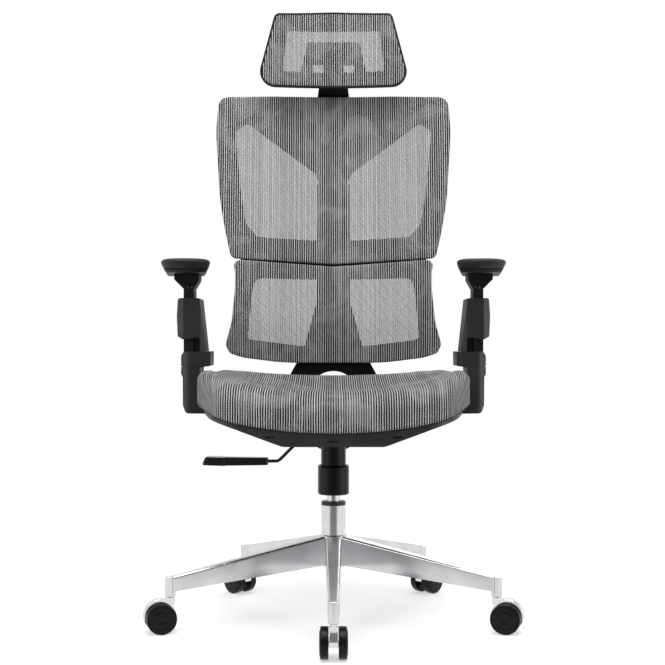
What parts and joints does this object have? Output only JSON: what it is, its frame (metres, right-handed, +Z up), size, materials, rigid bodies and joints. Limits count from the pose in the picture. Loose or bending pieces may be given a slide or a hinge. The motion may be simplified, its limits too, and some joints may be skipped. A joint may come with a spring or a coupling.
{
  "type": "gaming chair",
  "caption": "High-back mesh gaming chair on a polished star base with casters, gas lift, reclining back, lumbar section, headrest and adjustable armrests.",
  "frame": {"origin": "on the floor under the gas column's axis", "axes": "+Z up, the chair faces -Y, the sitter's left is +X"},
  "size_m": [0.7532, 0.6822, 1.3116],
  "materials": {
    "polished_alloy": "mirror-polished die cast",
    "chrome": "bright plated",
    "bare_alloy": "tumbled die cast",
    "steel": "bright turned",
    "black_steel": "black powder coat",
    "black_nylon": "fine moulded grain",
    "satin_black": "satin moulded",
    "dark_grey_nylon": "fine moulded grain",
    "caster_tread": "smooth polyurethane",
    "soft_pad": "soft skinned foam",
    "mesh": "light threads over black, woven mesh"
  },
  "bodies": {
    "base": {"base_star": "polished_alloy", "cylinder_tube": "chrome", "cylinder_guide": "black_nylon"},
    "gas_rod": {"piston_rod": "steel", "thrust_bearing": "steel"},
    "mechanism": {"gas_cylinder": "chrome", "cover_lower": "satin_black", "cover_upper": "satin_black", "mechanism_housing": "bare_alloy", "recline_pin": "steel", "seat_pin": "steel"},
    "back_bracket": {"back_bracket": "black_nylon"},
    "seat": {"seat_pan": "dark_grey_nylon", "seat_plate": "black_steel", "seat_frame": "black_nylon", "seat_mesh": "mesh", "arm_left_bracket": "black_steel", "arm_right_bracket": "black_steel", "arm_left_housing": "dark_grey_nylon", "arm_right_housing": "dark_grey_nylon"},
    "backrest": {"back_frame": "black_nylon", "back_mesh": "mesh"},
    "lumbar": {"lumbar_frame": "black_nylon", "lumbar_mesh": "mesh"},
    "headrest_post": {"headrest_post": "black_nylon"},
    "headrest": {"headrest_frame": "black_nylon", "headrest_mesh": "mesh", "headrest_pin": "steel"},
    "arm_left_post": {"arm_left_post": "satin_black"},
    "arm_left_release": {"arm_left_release": "dark_grey_nylon"},
    "arm_left_slider": {"arm_left_slider": "black_nylon"},
    "arm_left_pad": {"arm_left_pad": "soft_pad"},
    "arm_right_post": {"arm_right_post": "satin_black"},
    "arm_right_release": {"arm_right_release": "dark_grey_nylon"},
    "arm_right_slider": {"arm_right_slider": "black_nylon"},
    "arm_right_pad": {"arm_right_pad": "soft_pad"},
    "lever_bush": {"lever_bush": "black_nylon"},
    "lever": {"lever_rod": "black_steel", "lever_grip": "satin_black"},
    "tension_knob": {"tension_knob": "black_nylon"},
    "caster_1": {"caster_1_hood": "chrome", "caster_1_axle": "steel"},
    "caster_1_wheel_left": {"caster_1_wheel_left": "caster_tread"},
    "caster_1_wheel_right": {"caster_1_wheel_right": "caster_tread"},
    "caster_2": {"caster_2_hood": "chrome", "caster_2_axle": "steel"},
    "caster_2_wheel_left": {"caster_2_wheel_left": "caster_tread"},
    "caster_2_wheel_right": {"caster_2_wheel_right": "caster_tread"},
    "caster_3": {"caster_3_hood": "chrome", "caster_3_axle": "steel"},
    "caster_3_wheel_left": {"caster_3_wheel_left": "caster_tread"},
    "caster_3_wheel_right": {"caster_3_wheel_right": "caster_tread"},
    "caster_4": {"caster_4_hood": "chrome", "caster_4_axle": "steel"},
    "caster_4_wheel_left": {"caster_4_wheel_left": "caster_tread"},
    "caster_4_wheel_right": {"caster_4_wheel_right": "caster_tread"},
    "caster_5": {"caster_5_hood": "chrome", "caster_5_axle": "steel"},
    "caster_5_wheel_left": {"caster_5_wheel_left": "caster_tread"},
    "caster_5_wheel_right": {"caster_5_wheel_right": "caster_tread"}
  },
  "joints": [
    {"name": "back_recline", "type": "hinge", "parent": "mechanism", "child": "back_bracket", "pos_m": [0, 0.03, 0.375], "axis": [-1, 0, 0], "range_deg": [0, 25], "stiffness_Nm_per_rad": 80, "springref_deg": -22.92},
    {"name": "seat_tilt", "type": "hinge", "parent": "mechanism", "child": "seat", "pos_m": [0, -0.13, 0.385], "axis": [-1, 0, 0], "range_deg": [0, 8.4]},
    {"name": "seat_height", "type": "slide", "parent": "gas_rod", "child": "mechanism", "axis": [0, 0, 1], "range_m": [0, 0.08]},
    {"name": "seat_swivel", "type": "hinge", "parent": "base", "child": "gas_rod", "pos_m": [0, 0, 0.2], "axis": [0, 0, 1], "continuous": true},
    {"name": "back_height", "type": "slide", "parent": "back_bracket", "child": "backrest", "axis": [0, 0.1599, 0.9871], "range_m": [0, 0.05]},
    {"name": "lumbar_flex", "type": "hinge", "parent": "back_bracket", "child": "lumbar", "pos_m": [0, 0.264, 0.64], "axis": [-1, 0, 0], "range_deg": [-4, 2], "stiffness_Nm_per_rad": 60},
    {"name": "headrest_height", "type": "slide", "parent": "backrest", "child": "headrest_post", "axis": [0, 0.1599, 0.9871], "range_m": [0, 0.055]},
    {"name": "headrest_tilt", "type": "hinge", "parent": "headrest_post", "child": "headrest", "pos_m": [0, 0.274, 1.17], "axis": [-1, 0, 0], "range_deg": [-25, 25]},
    {"name": "arm_left_height", "type": "slide", "parent": "seat", "child": "arm_left_post", "axis": [0, 0, 1], "range_m": [-0.015, 0.06]},
    {"name": "arm_left_release_pull", "type": "hinge", "parent": "arm_left_post", "child": "arm_left_release", "pos_m": [0.318, 0.004, 0.707], "axis": [0, -1, 0], "range_deg": [0, 12], "stiffness_Nm_per_rad": 0.5, "springref_deg": -5.73},
    {"name": "arm_left_pad_slide", "type": "slide", "parent": "arm_left_post", "child": "arm_left_slider", "axis": [0.1045, 0.9945, 0], "range_m": [-0.025, 0.025]},
    {"name": "arm_left_pad_turn", "type": "hinge", "parent": "arm_left_slider", "child": "arm_left_pad", "pos_m": [0.304, 0.004, 0.715], "axis": [0, 0, 1], "range_deg": [-20, 20]},
    {"name": "arm_right_height", "type": "slide", "parent": "seat", "child": "arm_right_post", "axis": [0, 0, 1], "range_m": [-0.015, 0.06]},
    {"name": "arm_right_release_pull", "type": "hinge", "parent": "arm_right_post", "child": "arm_right_release", "pos_m": [-0.318, 0.004, 0.707], "axis": [0, 1, 0], "range_deg": [0, 12], "stiffness_Nm_per_rad": 0.5, "springref_deg": -5.73},
    {"name": "arm_right_pad_slide", "type": "slide", "parent": "arm_right_post", "child": "arm_right_slider", "axis": [-0.1045, 0.9945, 0], "range_m": [-0.025, 0.025]},
    {"name": "arm_right_pad_turn", "type": "hinge", "parent": "arm_right_slider", "child": "arm_right_pad", "pos_m": [-0.304, 0.004, 0.715], "axis": [0, 0, 1], "range_deg": [-20, 20]},
    {"name": "lever_lift", "type": "hinge", "parent": "mechanism", "child": "lever_bush", "pos_m": [-0.025, -0.04, 0.379], "axis": [0, 1, 0], "range_deg": [0, 8], "stiffness_Nm_per_rad": 3, "springref_deg": -11.46},
    {"name": "lever_pull", "type": "slide", "parent": "lever_bush", "child": "lever", "axis": [-1, 0, 0], "range_m": [0, 0.01]},
    {"name": "tension_turn", "type": "hinge", "parent": "mechanism", "child": "tension_knob", "pos_m": [0.045, -0.06, 0.38], "axis": [1, 0, 0], "range_deg": [0, 1440]},
    {"name": "caster_1_swivel", "type": "hinge", "parent": "base", "child": "caster_1", "pos_m": [0, -0.339, 0.085], "axis": [0, 0, 1], "continuous": true},
    {"name": "caster_1_roll_left", "type": "hinge", "parent": "caster_1", "child": "caster_1_wheel_left", "pos_m": [0, -0.319, 0.03], "axis": [-1, 0, 0], "continuous": true},
    {"name": "caster_1_roll_right", "type": "hinge", "parent": "caster_1", "child": "caster_1_wheel_right", "pos_m": [0, -0.319, 0.03], "axis": [-1, 0, 0], "continuous": true},
    {"name": "caster_2_swivel", "type": "hinge", "parent": "base", "child": "caster_2", "pos_m": [0.32241, -0.10476, 0.085], "axis": [0, 0, 1], "continuous": true},
    {"name": "caster_2_roll_left", "type": "hinge", "parent": "caster_2", "child": "caster_2_wheel_left", "pos_m": [0.34153, -0.1106, 0.03], "axis": [0.2924, 0.9563, 0], "continuous": true},
    {"name": "caster_2_roll_right", "type": "hinge", "parent": "caster_2", "child": "caster_2_wheel_right", "pos_m": [0.34153, -0.1106, 0.03], "axis": [0.2924, 0.9563, 0], "continuous": true},
    {"name": "caster_3_swivel", "type": "hinge", "parent": "base", "child": "caster_3", "pos_m": [0.19926, 0.27426, 0.085], "axis": [0, 0, 1], "continuous": true},
    {"name": "caster_3_roll_left", "type": "hinge", "parent": "caster_3", "child": "caster_3_wheel_left", "pos_m": [0.21315, 0.28864, 0.03], "axis": [-0.7193, 0.6947, 0], "continuous": true},
    {"name": "caster_3_roll_right", "type": "hinge", "parent": "caster_3", "child": "caster_3_wheel_right", "pos_m": [0.21315, 0.28864, 0.03], "axis": [-0.7193, 0.6947, 0], "continuous": true},
    {"name": "caster_4_swivel", "type": "hinge", "parent": "base", "child": "caster_4", "pos_m": [-0.19926, 0.27426, 0.085], "axis": [0, 0, 1], "continuous": true},
    {"name": "caster_4_roll_left", "type": "hinge", "parent": "caster_4", "child": "caster_4_wheel_left", "pos_m": [-0.21315, 0.28864, 0.03], "axis": [-0.7193, -0.6947, 0], "continuous": true},
    {"name": "caster_4_roll_right", "type": "hinge", "parent": "caster_4", "child": "caster_4_wheel_right", "pos_m": [-0.21315, 0.28864, 0.03], "axis": [-0.7193, -0.6947, 0], "continuous": true},
    {"name": "caster_5_swivel", "type": "hinge", "parent": "base", "child": "caster_5", "pos_m": [-0.32241, -0.10476, 0.085], "axis": [0, 0, 1], "continuous": true},
    {"name": "caster_5_roll_left", "type": "hinge", "parent": "caster_5", "child": "caster_5_wheel_left", "pos_m": [-0.34153, -0.1106, 0.03], "axis": [0.2924, -0.9563, 0], "continuous": true},
    {"name": "caster_5_roll_right", "type": "hinge", "parent": "caster_5", "child": "caster_5_wheel_right", "pos_m": [-0.34153, -0.1106, 0.03], "axis": [0.2924, -0.9563, 0], "continuous": true}
  ],
  "couplings": [
    {"joint": "seat_tilt", "follows": "back_recline", "ratio": 0.3333}
  ]
}
